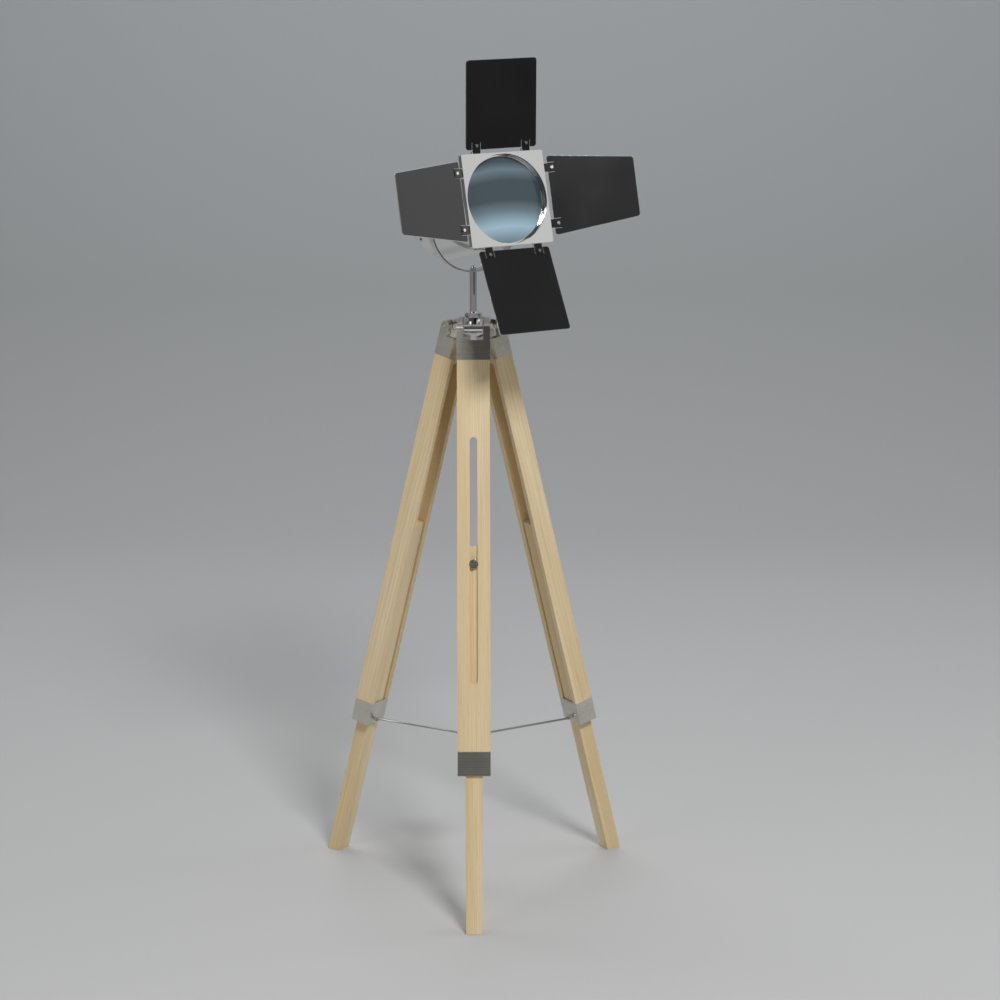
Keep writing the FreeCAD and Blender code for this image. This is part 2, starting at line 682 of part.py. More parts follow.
def make_spreader():
    for side in AZIMUTHS:
        run = rod("Y", (0, -rod_circle, 0), S.rod_radius, rod_circle - S.rod_stop)
        knee = ball((0, -rod_circle, 0), S.rod_radius)
        hook = rod("X", (0, -rod_circle, 0), S.rod_radius, S.rod_hook)
        pieces = [run, knee, hook]
        if side == "front":
            pieces += [ball((0, -S.rod_stop, 0), S.rod_radius),
                       rod("X", (0, -S.rod_stop, 0), S.rod_radius, S.lug_hook)]
        node(f"spreader_rod_{side}", fuse(*pieces), spreader_place(side))

    plate = rod("Z", (0, 0, S.rod_radius + S.seat_gap), S.plate_radius, S.plate_thickness)
    start = S.rod_radius + S.tab_gap
    lug = rod("X", (start, -S.rod_stop, 0), S.lug_radius, S.tab_thickness)
    hole = rod("X", (start, -S.rod_stop, 0), S.rod_radius + S.fit_gap, S.tab_thickness)
    node("spreader_plate", cut(fuse(plate, lug), hole), spreader_place("front"))


# ---------------------------------------------------------------- yoke and tilt

def make_yoke():
    half = S.yoke_width / 2
    outer = rod("Y", (0, -half, -S.yoke_drop), yoke_radius, S.yoke_width)
    inner = rod("Y", (0, -half, -S.yoke_drop), yoke_inside, S.yoke_width)
    above = block((-yoke_radius, yoke_radius), (-half, half), (-S.yoke_drop, yoke_radius))
    bend = cut(outer, inner, above)
    arms, ends, bores = [], [], []
    for low in (-yoke_radius, yoke_inside):
        arms.append(block((low, low + S.yoke_thickness), (-half, half), (-S.yoke_drop, 0)))
        ends.append(rod("X", (low, 0, 0), half, S.yoke_thickness))
        bores.append(rod("X", (low, 0, 0), S.tilt_shank_radius + S.liner_gap, S.yoke_thickness))
    stud_hole = rod("Z", (0, 0, -S.yoke_drop - yoke_radius), S.stud_radius + S.liner_gap,
                    2 * S.yoke_thickness)
    node("yoke", cut(fuse(bend, *arms, *ends), stud_hole, *bores), yoke_place())


def make_tilt_parts():
    bush_start = can_inside - S.bush_depth
    bush_end = yoke_inside - S.seat_gap
    bushes = []
    for sign in (-1, 1):
        start = bush_start if sign > 0 else -bush_end
        length = bush_end - bush_start
        bushes.append(cut(
            rod("X", (start, 0, 0), S.bush_radius, length),
            rod("X", (start, 0, 0), S.tilt_shank_radius + S.fit_gap, length)))
    node("pivot_bushes", group(bushes), head_place())
    for sign, side in ((-1, "left"), (1, "right")):
        inner_tip = bush_end - S.tilt_screw_length
        seat = yoke_radius + S.seat_gap
        shank_length = seat - inner_tip
        grip_start = seat if sign > 0 else -(seat + S.tilt_head_length)
        shank_start = inner_tip if sign > 0 else -seat
        knob = fuse(
            rod("X", (shank_start, 0, 0), S.tilt_shank_radius, shank_length),
            rod("X", (grip_start, 0, 0), S.tilt_head_radius, S.tilt_head_length))
        flutes = [
            turned(rod("X", (grip_start, 0, S.tilt_head_radius + S.flute_offset),
                       S.flute_radius, S.tilt_head_length),
                   Vector(1, 0, 0), 360 * index / float(S.flute_count))
            for index in range(int(float(S.flute_count)))]
        node(f"tilt_knob_{side}", cut(knob, *flutes), head_place())


# ---------------------------------------------------------------- lamp head

def make_can():
    front = front_face + S.front_sheet
    length = S.can_back - front
    side_hole = S.bush_radius + S.fit_gap
    cap_hole = S.cap_screw_radius + S.fit_gap
    tools = [rod("Y", (0, front, 0), can_inside, length),
             rod("X", (-S.can_radius, 0, 0), side_hole, 2 * S.can_radius)]
    for azimuth in AZIMUTHS.values():
        hole = rod("Z", (0, S.can_back - S.skirt_depth / 2, 0), cap_hole, S.can_radius)
        tools.append(turned(hole, Vector(0, 1, 0), azimuth))
    tube = rod("Y", (0, front, 0), S.can_radius, length)
    node("lamp_can", cut(tube, *tools), head_place())


def make_rear_cap():
    def rear_rim(edge):
        ring = hasattr(edge.Curve, "Radius") and len(edge.Vertexes) == 1
        return ring and edge.CenterOfMass.y > float(S.can_back) + float(S.cap_shoulder) / 2

    outer = rounded(rod("Y", (0, S.can_back, 0), S.can_radius, S.cap_depth),
                    S.cap_shoulder, rear_rim)
    inner = rounded(rod("Y", (0, S.can_back, 0), can_inside, S.cap_depth - S.can_wall),
                    S.cap_shoulder - S.can_wall, rear_rim)
    skirt_front = S.can_back - S.skirt_depth
    skirt = cut(rod("Y", (0, skirt_front, 0), liner_radius, S.skirt_depth + S.can_wall),
                rod("Y", (0, skirt_front, 0), liner_radius - S.can_wall,
                    S.skirt_depth + S.can_wall))
    bowl = fuse(cut(outer, inner), skirt)
    wall_front = cap_back - 2 * S.can_wall
    tools = [rod("Y", (0, wall_front, 0), S.stem_radius + S.fit_gap, 2 * S.can_wall),
             rod("Y", (0, wall_front, -S.gland_drop), S.gland_thread + S.fit_gap,
                 2 * S.can_wall)]
    for index in range(int(float(S.vent_count))):
        angle = (index + 0.5) * 360 / float(S.vent_count)
        vent = block((-S.vent_width / 2, S.vent_width / 2), (wall_front, cap_back),
                     (S.vent_inner, S.vent_outer))
        tools.append(turned(vent, Vector(0, 1, 0), angle))
    for azimuth in AZIMUTHS.values():
        hole = rod("Z", (0, S.can_back - S.skirt_depth / 2, 0),
                   S.cap_screw_radius + S.fit_gap, S.can_radius)
        tools.append(turned(hole, Vector(0, 1, 0), azimuth))
    node("rear_cap", cut(bowl, *tools), head_place())

    screws = []
    for azimuth in AZIMUTHS.values():
        seat = (0, S.can_back - S.skirt_depth / 2, S.can_radius)
        one = screw(seat, UPWARD, S.cap_screw_radius, S.screw_depth, S.cap_screw_head,
                    S.screw_head_height)
        screws.append(turned(one, Vector(0, 1, 0), azimuth))
    node("rear_cap_screws", group(screws), head_place())


def make_front_plate():
    inside = front_half - S.front_sheet

    def upright(edge):
        box = edge.BoundBox
        return box.YLength > 1 and box.XLength + box.ZLength < 0.01

    def shell(reach, start, length, radius):
        return rounded(block((-reach, reach), (start, start + length), (-reach, reach)),
                       radius, upright)

    solid = shell(front_half, front_face, S.front_fold, S.front_corner)
    room = shell(inside, front_face + S.front_sheet, S.front_fold - S.front_sheet,
                 S.front_corner - S.front_sheet)
    bore = rod("Y", (0, front_face, 0), can_inside, S.front_sheet)
    lugs = []
    for turn in DOOR_TURNS.values():
        for sign in (-1, 1):
            for low in (-lug_reach, lug_reach - S.lug_thickness):
                start = sign * S.hinge_spacing / 2 + low
                arm = block((start, start + S.lug_thickness),
                            (hinge_line - S.eye_radius, hinge_line + S.eye_radius),
                            (inside, hinge_radius))
                end = rod("X", (start, hinge_line, hinge_radius), S.eye_radius,
                          S.lug_thickness)
                hole = rod("X", (start, hinge_line, hinge_radius),
                           S.hinge_pin_radius + S.fit_gap, S.lug_thickness)
                lugs.append(turned(cut(fuse(arm, end), hole), Vector(0, 1, 0),
                                   QUARTER * turn))
    node("front_plate", fuse(cut(solid, room, bore), *lugs), head_place())


def make_hinge_pins():
    pins = []
    for turn in DOOR_TURNS.values():
        for sign in (-1, 1):
            start = sign * S.hinge_spacing / 2 - lug_reach
            pin = rod("X", (start, hinge_line, hinge_radius), S.hinge_pin_radius,
                      2 * lug_reach)
            pins.append(turned(pin, Vector(0, 1, 0), QUARTER * turn))
    node("door_hinge_pins", group(pins), head_place())


def make_lens():
    ring_front = lens_face - S.ring_height
    ring = cut(rod("Y", (0, ring_front, 0), liner_radius, S.ring_height),
               rod("Y", (0, ring_front, 0), lens_radius, S.ring_height))
    node("lens_ring", ring, head_place())
    reach = lens_radius
    sphere = (reach * reach + S.lens_bulge * S.lens_bulge) / (2 * S.lens_bulge)
    lens = doc.addObject("Part::Common", "Lens")
    lens.Base = rod("Y", (0, lens_face - S.lens_bulge, 0), liner_radius,
                    S.lens_bulge + S.lens_edge)
    lens.Tool = ball((0, lens_face - S.lens_bulge + sphere, 0), sphere)
    node("lens", lens, head_place())


def parabola_edge(start, end, depth_at):
    """A smooth edge through points of a bowl's section, from one radius to another."""
    steps = 12
    radii = [start + (end - start) * i / steps for i in range(steps + 1)]
    curve = Part.BSplineCurve()
    curve.interpolate([Vector(radius, depth_at(radius), 0) for radius in radii])
    return curve.toShape()


def make_reflector():
    """A parabolic bowl: a thin section, turned about the can's axis."""
    rim_radius = float(lens_radius)
    hole = float(S.holder_radius + S.liner_gap)
    wall = float(S.bowl_wall)
    apex = float(bowl_front + S.bowl_depth)
    steep = float(S.bowl_depth) / rim_radius ** 2

    def inside(radius):
        return apex - steep * radius ** 2

    inner = parabola_edge(hole, rim_radius, inside)
    outer = parabola_edge(rim_radius + wall, hole, lambda r: inside(max(r - wall, 0)) + wall)
    lip = float(liner_radius)
    front = inside(rim_radius)
    back = inside(rim_radius) + wall
    points = [Vector(rim_radius, front, 0), Vector(rim_radius, float(lens_back), 0),
              Vector(lip, float(lens_back), 0), Vector(lip, back, 0),
              Vector(rim_radius + wall, back, 0)]
    sides = [Part.LineSegment(points[i], points[i + 1]).toShape() for i in range(4)]
    closing = Part.LineSegment(
        Vector(hole, inside(hole - wall) + wall, 0), Vector(hole, inside(hole), 0)).toShape()
    face = Part.Face(Part.Wire([inner, *sides, outer, closing]))
    bowl = doc.addObject("Part::Feature", "Bowl")
    bowl.Shape = face.revolve(Vector(), Vector(0, 1, 0), 360)
    node("reflector", bowl, head_place())


def make_light_source():
    steep = S.bowl_depth / (lens_radius * lens_radius)
    hole = S.holder_radius + S.liner_gap
    mouth = bowl_front + S.bowl_depth - steep * hole * hole
    nose = mouth - S.holder_nose
    back = nose + S.holder_length
    stem_length = cap_back + S.stem_end - back
    holder = cut(
        fuse(rod("Y", (0, nose, 0), S.holder_radius, S.holder_length),
             rod("Y", (0, back, 0), S.stem_radius, stem_length)),
        rod("Y", (0, nose, 0), S.socket_radius, S.socket_depth),
        rod("Y", (0, nose + S.socket_depth, 0), S.stem_bore,
            S.holder_length - S.socket_depth + stem_length))
    node("lamp_holder", holder, head_place())

    centre = nose - S.bulb_reach
    bulb = fuse(
        ball((0, centre, 0), S.bulb_radius),
        cone("Y", (0, centre, 0), S.bulb_shoulder, S.bulb_base, S.bulb_reach),
        rod("Y", (0, nose, 0), S.bulb_base, S.socket_depth - S.seat_gap))
    node("bulb", bulb, head_place())


def make_gland():
    thread = rod("Y", (0, cap_back - S.gland_inside, -S.gland_drop), S.gland_thread,
                 S.gland_inside)
    nut = hexagon("Y", (0, cap_back, -S.gland_drop), S.gland_flats, S.gland_height / 2)
    dome = cone("Y", (0, cap_back + S.gland_height / 2, -S.gland_drop), S.gland_flats / 2,
                S.gland_thread, S.gland_height / 2)
    bore = rod("Y", (0, cap_back - S.gland_inside, -S.gland_drop), S.gland_bore,
               S.gland_inside + S.gland_height)
    node("cable_gland", cut(fuse(thread, nut, dome), bore), head_place())


# ---------------------------------------------------------------- barn doors

def make_door(side):
    tip = S.door_tip_width if side in SIDE_DOORS else S.door_width
    root_half = S.door_width / 2
    tip_half = tip / 2
    back = -S.eye_radius + S.strap_thickness + S.door_sheet
    front = -S.eye_radius + S.strap_thickness
    outline = [(-root_half, S.door_start), (root_half, S.door_start),
               (tip_half, S.door_reach), (-tip_half, S.door_reach)]
    sheet_body = prism("XZ", outline, -back, S.door_sheet)

    def corner(edge):
        box = edge.BoundBox
        return box.YLength > float(S.door_sheet) * 0.9 and box.XLength + box.ZLength < 0.01

    leaf = rounded(sheet_body, S.door_corner, corner)
    tools, straps, rivets = [], [], []
    for sign in (-1, 1):
        middle = sign * S.hinge_spacing / 2
        half = S.strap_width / 2
        for low in (-half - S.slit_offset - S.slit_width, half + S.slit_offset):
            tools.append(block((middle + low, middle + low + S.slit_width), (front, back),
                               (S.door_start, S.strap_length)))
        tools.append(rod("Y", (middle, front, S.rivet_station), S.rivet_radius + S.fit_gap,
                         S.door_sheet))
        eye = rod("X", (middle - half, 0, 0), S.eye_radius, S.strap_width)
        flap = block((middle - half, middle + half), (-S.eye_radius, front),
                     (0, S.strap_length))
        bore = rod("X", (middle - half, 0, 0), S.hinge_pin_radius + S.fit_gap, S.strap_width)
        hole = rod("Y", (middle, -S.eye_radius, S.rivet_station), S.rivet_radius + S.fit_gap,
                   S.strap_thickness)
        straps.append(cut(fuse(eye, flap), bore, hole))
        head = screw((middle, -S.eye_radius, S.rivet_station), FORWARD, S.rivet_radius,
                     S.strap_thickness + S.door_sheet + S.rivet_tail, S.rivet_head,
                     S.rivet_head_height)
        tail = rod("Y", (middle, back, S.rivet_station), S.rivet_nut, S.rivet_tail)
        rivets.append(fuse(head, tail))
    node(f"barn_door_{side}", cut(leaf, *tools), door_place(side))
    node(f"door_straps_{side}", group(straps), door_place(side))
    node(f"door_screws_{side}", group(rivets), door_place(side))


# ---------------------------------------------------------------- assembly

make_hub()
make_post()
for side in AZIMUTHS:
    make_bracket(side)
    make_hinge_pin(side)
    make_upper_leg(side)
    make_band(side)
    make_slider(side)
    make_clamp(side)
make_spreader()
make_yoke()
make_tilt_parts()
make_can()
make_rear_cap()
make_front_plate()
make_hinge_pins()
make_lens()
make_reflector()
make_light_source()
make_gland()
for side in DOOR_TURNS:
    make_door(side)
doc.recompute()

for obj in doc.Objects:
    if "Invalid" in obj.State or "Error" in obj.State:
        raise RuntimeError(f"{obj.Name} failed: {obj.State}")
for obj in NODES:
    if obj.Shape.isNull() or not obj.Shape.isValid() or not obj.Shape.Solids:
        raise RuntimeError(f"{obj.Label} has no valid solid")

os.makedirs("parts", exist_ok=True)
for obj in NODES:
    obj.Shape.exportStep(f"parts/{obj.Label}.step")
print(len(NODES), "pieces,", round(float(rod_circle), 2), "rod circle,",
      round(float(rod_height), 2), "rod height")
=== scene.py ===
"""Tripod spotlight floor lamp: finishes, rounded edges, small screws, studio and camera."""

import json
import logging
import math
from dataclasses import dataclass, field
from enum import Enum
from typing import Any, Iterable

import bmesh
import bpy
from mathutils import Matrix, Vector


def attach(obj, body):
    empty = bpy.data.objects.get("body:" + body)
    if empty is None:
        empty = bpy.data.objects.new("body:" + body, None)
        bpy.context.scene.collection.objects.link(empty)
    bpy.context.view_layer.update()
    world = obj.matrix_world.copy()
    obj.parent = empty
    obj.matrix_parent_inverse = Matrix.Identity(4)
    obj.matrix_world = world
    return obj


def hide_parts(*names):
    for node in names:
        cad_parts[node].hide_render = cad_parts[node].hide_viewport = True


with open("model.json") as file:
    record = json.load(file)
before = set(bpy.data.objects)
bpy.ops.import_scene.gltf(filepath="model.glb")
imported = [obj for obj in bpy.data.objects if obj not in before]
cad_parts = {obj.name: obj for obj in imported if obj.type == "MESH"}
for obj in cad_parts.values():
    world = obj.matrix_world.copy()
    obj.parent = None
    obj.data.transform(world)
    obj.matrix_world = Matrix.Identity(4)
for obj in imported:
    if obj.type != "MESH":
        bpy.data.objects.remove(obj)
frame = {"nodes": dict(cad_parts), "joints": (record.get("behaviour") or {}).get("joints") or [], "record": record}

log = logging.getLogger("lamp")
MM = 0.001
Colour = tuple[float, float, float, float]


def tone(red: int, green: int, blue: int) -> Colour:
    """Turn an 8-bit colour, as a paint chart gives it, into linear light.

    Args:
        red: Red, 0 to 255.
        green: Green, 0 to 255.
        blue: Blue, 0 to 255.

    Returns:
        Linear red, green, blue and an alpha of 1.
    """

    def linear(value: int) -> float:
        """One channel in linear light."""
        share = value / 255
        return share / 12.92 if share <= 0.04045 else ((share + 0.055) / 1.055) ** 2.4

    return (linear(red), linear(green), linear(blue), 1.0)


# ------------------------------------------------------------------ shader maths


@dataclass(frozen=True)
class Link:
    """An output socket of a shader tree, on which numbers and other links can be reckoned."""

    tree: bpy.types.NodeTree
    socket: bpy.types.NodeSocket

    def maths(self, operation: str, *inputs: Any) -> "Link":
        """Add one Math node.

        Args:
            operation: The node's operation.
            inputs: Numbers or links, in socket order.

        Returns:
            The node's result.
        """
        return Painter(self.tree).add("ShaderNodeMath", {"operation": operation}, inputs)

    def __add__(self, other: Any) -> "Link":
        """Sum."""
        return self.maths("ADD", self, other)

    def __radd__(self, other: Any) -> "Link":
        """Sum, with this link on the right."""
        return self.maths("ADD", other, self)

    def __sub__(self, other: Any) -> "Link":
        """Difference."""
        return self.maths("SUBTRACT", self, other)

    def __rsub__(self, other: Any) -> "Link":
        """Difference, with this link on the right."""
        return self.maths("SUBTRACT", other, self)

    def __mul__(self, other: Any) -> "Link":
        """Product."""
        return self.maths("MULTIPLY", self, other)

    def __rmul__(self, other: Any) -> "Link":
        """Product, with this link on the right."""
        return self.maths("MULTIPLY", other, self)

    def sine(self) -> "Link":
        """Sine of an angle in radians."""
        return self.maths("SINE", self)

    def between(self, low: float, high: float, start: float = 0.0, end: float = 1.0) -> "Link":
        """Map a range onto another, held at both ends.

        Args:
            low: Value that gives start.
            high: Value that gives end.
            start: Result at low.
            end: Result at high.

        Returns:
            The mapped value.
        """
        return Painter(self.tree).add(
            "ShaderNodeMapRange", {"clamp": True}, [self, low, high, start, end])


@dataclass(frozen=True)
class Painter:
    """Adds nodes to one shader tree."""

    tree: bpy.types.NodeTree

    def add(self, kind: str, settings: dict[str, Any] | None = None,
            values: Iterable[Any] | dict[Any, Any] = (), output: int | str = 0) -> Link:
        """Add a node.

        Args:
            kind: The node's type.
            settings: Properties that are set first; "stops" holds a ramp's colours.
            values: Values or links, in socket order or by socket name.
            output: Which output to return.

        Returns:
            The chosen output.
        """
        node = self.tree.nodes.new(kind)
        for name, value in (settings or {}).items():
            if name == "stops":
                self.set_stops(node, value)
            else:
                setattr(node, name, value)
        pairs = values.items() if isinstance(values, dict) else enumerate(values)
        for key, value in pairs:
            if isinstance(value, Link):
                self.tree.links.new(value.socket, node.inputs[key])
            elif value is not None:
                node.inputs[key].default_value = value
        return Link(self.tree, node.outputs[output])

    def set_stops(self, node: bpy.types.Node, stops: list[tuple[float, Colour]]) -> None:
        """Set the stops of a ramp.

        Args:
            node: A Color Ramp node.
            stops: Positions and colours.
        """
        elements = node.color_ramp.elements
        while len(elements) < len(stops):
            elements.new(1.0)
        for element, (position, colour) in zip(elements, stops):
            element.position = position
            element.color = colour

    def spot(self) -> Link:
        """The surface point, in the frame of the lamp."""
        return self.add("ShaderNodeTexCoord", output="Object")

    def along(self, point: Link, direction: Vector) -> Link:
        """How far a point lies along a direction.

        Args:
            point: A point.
            direction: A unit vector.

        Returns:
            The distance.
        """
        settings = {"operation": "DOT_PRODUCT"}
        return self.add("ShaderNodeVectorMath", settings, [point, tuple(direction)], "Value")

    def join(self, x: Any, y: Any, z: Any) -> Link:
        """A vector of three values."""
        return self.add("ShaderNodeCombineXYZ", values=[x, y, z])

    def noise(self, point: Link, scale: float, detail: float = 2.0, rough: float = 0.5) -> Link:
        """Soft noise, 0 to 1.

        Args:
            point: Where to read it.
            scale: Cells per metre.
            detail: Octaves.
            rough: Share of the finer octaves.

        Returns:
            The noise.
        """
        return self.add("ShaderNodeTexNoise", values={
            "Vector": point, "Scale": scale, "Detail": detail, "Roughness": rough})

    def blend(self, share: Any, first: Any, second: Any) -> Link:
        """Mix two colours.

        Args:
            share: 0 gives the first colour and 1 the second.
            first: A colour or a link.
            second: A colour or a link.

        Returns:
            The mixed colour.
        """
        return self.add("ShaderNodeMix", {"data_type": "RGBA"}, {0: share, 6: first, 7: second}, 2)

    def bump(self, height: Link, depth: float, strength: float = 1.0) -> Link:
        """A bumped normal.

        Args:
            height: Height, 0 to 1.
            depth: Depth of the relief, in metres.
            strength: Share of the relief.

        Returns:
            The normal.
        """
        return self.add("ShaderNodeBump", values={
            "Height": height, "Distance": depth, "Strength": strength})

    def surface(self, **sockets: Any) -> Link:
        """A Principled shader.

        Args:
            sockets: Values or links by socket name, with underscores for spaces.

        Returns:
            The shader.
        """
        named = {name.replace("_", " "): value for name, value in sockets.items()}
        return self.add("ShaderNodeBsdfPrincipled", values=named)


@dataclass(frozen=True)
class Finish:
    """A surface finish. Each kind of finish paints its own colour, gloss and relief."""

    name: str

    def material(self) -> bpy.types.Material:
        """Make the material, or give the one that is already there."""
        found = bpy.data.materials.get(self.name)
        if found is not None:
            return found
        made = bpy.data.materials.new(self.name)
        made.use_nodes = True
        made.node_tree.nodes.clear()
        shader = self.paint(Painter(made.node_tree))
        output = made.node_tree.nodes.new("ShaderNodeOutputMaterial")
        made.node_tree.links.new(shader.socket, output.inputs["Surface"])
        return made

    def paint(self, paint: Painter) -> Link:
        """Build the nodes and give the shader."""
        raise NotImplementedError


@dataclass(frozen=True)
class Plate(Finish):
    """Plated or polished metal with faint handling haze."""

    colour: Colour = tone(224, 224, 222)
    gloss: tuple[float, float] = (0.05, 0.09)
    haze_scale: float = 14.0

    def paint(self, paint: Painter) -> Link:
        """Metal whose gloss changes slightly over the surface."""
        point = paint.spot()
        haze = paint.noise(point, self.haze_scale, 4.0, 0.6)
        specks = paint.noise(point, 900.0, 2.0)
        darker = tuple(0.97 * c for c in self.colour[:3]) + (1.0,)
        return paint.surface(
            Base_Color=paint.blend(haze.between(0.35, 0.7), self.colour, darker), Metallic=1.0,
            Roughness=haze.between(0.3, 0.75, *self.gloss),
            Normal=paint.bump(specks, 0.001 * MM, 0.3))


@dataclass(frozen=True)
class SatinMetal(Finish):
    """Brushed, plated metal, with fine lines round the piece."""

    colour: Colour = tone(218, 215, 204)
    roughness: float = 0.27
    line: Vector = field(default_factory=lambda: Vector((0, 0, 1)))

    def paint(self, paint: Painter) -> Link:
        """Metal with brush lines across one direction."""
        point = paint.spot()
        height = paint.along(point, self.line)
        brush = paint.noise(paint.join(height * 2600.0, 0.0, 0.0), 1.0, 3.0, 0.7)
        cloud = paint.noise(point, 30.0, 3.0)
        darker = tuple(0.82 * c for c in self.colour[:3]) + (1.0,)
        rough = brush.between(0.2, 0.8, self.roughness - 0.06, self.roughness + 0.08)
        return paint.surface(
            Base_Color=paint.blend(cloud.between(0.3, 0.75), self.colour, darker), Metallic=1.0,
            Roughness=rough, Normal=paint.bump(brush, 0.01 * MM, 0.35))


@dataclass(frozen=True)
class LegWood(Finish):
    """Pale lacquered wood, with its grain along the leg."""

    down: Vector = field(default_factory=lambda: Vector((0, 0, -1)))
    across: Vector = field(default_factory=lambda: Vector((1, 0, 0)))
    outward: Vector = field(default_factory=lambda: Vector((0, -1, 0)))
    shift: float = 0.0
    light: Colour = tone(238, 220, 182)
    warm: Colour = tone(216, 188, 138)
    line: Colour = tone(182, 146, 92)
    ring_spacing: float = 3.4 * MM

    def paint(self, paint: Painter) -> Link:
        """Growth lines, streaks and pores that run along the leg."""
        point = paint.spot()
        down = paint.along(point, self.down) + self.shift
        across = paint.along(point, self.across)
        out = paint.along(point, self.outward)
        sway = paint.noise(paint.join(across * 6.0, out * 6.0, down * 1.1), 1.0, 2.0)
        wander = paint.noise(paint.join(across * 40.0, out * 40.0, down * 2.0), 1.0, 3.0)
        depth = across * 0.85 + out * 0.52 + sway * 0.03 + wander * 0.002
        rings = (depth * (2 * math.pi / self.ring_spacing)).sine()
        streaks = paint.noise(paint.join(across * 420.0, out * 420.0, down * 7.0), 1.0, 4.0, 0.65)
        pores = paint.noise(paint.join(across * 1500.0, out * 1500.0, down * 45.0), 1.0, 1.0)
        broad = paint.noise(paint.join(across * 22.0, out * 22.0, down * 1.6), 1.0, 2.0)
        base = paint.blend(broad.between(0.3, 0.72), self.light, self.warm)
        ringed = paint.blend(rings.between(0.1, 1.0, 0.0, 0.3), base, self.warm)
        lined = paint.blend(streaks.between(0.5, 0.78, 0.0, 0.42), ringed, self.line)
        colour = paint.blend(pores.between(0.66, 0.78, 0.0, 0.45), lined, self.line)
        relief = streaks * 0.6 + pores * -0.5
        return paint.surface(
            Base_Color=colour, Roughness=streaks.between(0.2, 0.8, 0.4, 0.52),
            Coat_Weight=0.12, Coat_Roughness=0.3, Normal=paint.bump(relief, 0.05 * MM, 0.5))


@dataclass(frozen=True)
class BlackSheet(Finish):
    """Satin black paint on sheet metal."""

    colour: Colour = tone(20, 20, 21)
    roughness: float = 0.22

    def bare(self, paint: Painter, point: Link) -> Link | float:
        """How strongly the bright metal border shows at a point: none, for a plain sheet."""
        return 0.0

    def paint(self, paint: Painter) -> Link:
        """Black paint with slight orange peel and a light film of dust."""
        point = paint.spot()
        peel = paint.noise(point, 420.0, 2.0)
        dust = paint.noise(point, 9.0, 3.0, 0.5)
        faded = tuple(1.12 * c + 0.001 for c in self.colour[:3]) + (1.0,)
        rough = dust.between(0.3, 0.75, self.roughness - 0.02, self.roughness + 0.03)
        coat = paint.blend(dust.between(0.3, 0.8), self.colour, faded)
        # This mask lays a thin line of bright metal along the outline; the plain sheet has none.
        bright_line_share = self.bare(paint, point)
        return paint.surface(
            Base_Color=paint.blend(bright_line_share, coat, tone(196, 197, 196)), Roughness=rough,
            Metallic=bright_line_share, Normal=paint.bump(peel, 0.01 * MM, 0.25))


@dataclass(frozen=True)
class DoorSheet(BlackSheet):
    """Black paint on a barn door, with a thin line of bright metal along its outline."""

    hinge: Vector = field(default_factory=lambda: Vector((0, 0, 0)))
    line: Vector = field(default_factory=lambda: Vector((1, 0, 0)))
    along: Vector = field(default_factory=lambda: Vector((0, 0, 1)))
    root_half: float = 65 * MM
    tip_half: float = 65 * MM
    start: float = 4 * MM
    reach: float = 147 * MM
    corner: float = 5 * MM
    rub: float = 0.45 * MM

    def bare(self, paint: Painter, point: Link) -> Link:
        """One within a thin border of the door's outline, and none inside it."""
        across = paint.along(point, self.line) - self.line.dot(self.hinge)
        out = paint.along(point, self.along) - self.along.dot(self.hinge)
        slope = (self.root_half - self.tip_half) / (self.reach - self.start)
        half = (out - self.start) * -slope + self.root_half
        middle, span = (self.start + self.reach) / 2, (self.reach - self.start) / 2
        beside = across.maths("ABSOLUTE", across) - half + self.corner
        beyond = (out - middle).maths("ABSOLUTE", out - middle) - (span - self.corner)
        beside_out = beside.maths("MAXIMUM", beside, 0.0)
        beyond_out = beyond.maths("MAXIMUM", beyond, 0.0)
        square = beside_out * beside_out + beyond_out * beyond_out
        inner = beside.maths("MINIMUM", beside.maths("MAXIMUM", beside, beyond), 0.0)
        gap = square.maths("SQRT", square) + inner - self.corner
        return gap.between(-1.3 * self.rub, -0.7 * self.rub)


@dataclass(frozen=True)
class LensGlass(Finish):
    """Cool grey glass of the spot lens; soft bands of painted reflection run across it."""

    upward: Vector = field(default_factory=lambda: Vector((0, 0, 1)))
    right: Vector = field(default_factory=lambda: Vector((1, 0, 0)))
    centre: Vector = field(default_factory=lambda: Vector((0, 0, 0)))
    radius: float = 70 * MM
    dark: Colour = tone(62, 78, 87)
    soft: Colour = tone(108, 130, 142)
    pale: Colour = tone(172, 204, 220)

    def paint(self, paint: Painter) -> Link:
        """Glass tint with painted reflections: darkest above its middle and palest near its lower rim."""
        point = paint.spot()
        height = (paint.along(point, self.upward) - self.upward.dot(self.centre)) * (1 / self.radius)
        across = (paint.along(point, self.right) - self.right.dot(self.centre)) * (1 / self.radius)
        film = paint.noise(point, 16.0, 4.0, 0.6)
        sway = height + across * across * 0.12 + film * 0.06
        # Painted reflections on the lens's grey tint: the ramp's bands stand in for light mirrored by the glass.
        stops = [(0.0, self.soft), (0.2, self.pale), (0.38, self.soft), (0.5, self.dark),
                 (0.72, self.dark), (0.84, self.soft), (0.93, self.dark), (1.0, self.dark)]
        colour = paint.add("ShaderNodeValToRGB", {"stops": stops}, [sway.between(-1.0, 1.05)])
        return paint.surface(
            Base_Color=colour, Roughness=film.between(0.35, 0.8, 0.05, 0.12),
            IOR=1.5, Transmission_Weight=0.12)


@dataclass(frozen=True)
class FrostedGlass(Finish):
    """White, softly frosted bulb glass."""

    colour: Colour = tone(240, 238, 230)

    def paint(self, paint: Painter) -> Link:
        """Frosted glass, a little darker in soft random clouds."""
        cloud = paint.noise(paint.spot(), 40.0, 3.0)
        darker = tuple(0.9 * c for c in self.colour[:3]) + (1.0,)
        return paint.surface(
            Base_Color=paint.blend(cloud, self.colour, darker), Roughness=0.4,
            Coat_Weight=0.4, Coat_Roughness=0.12)


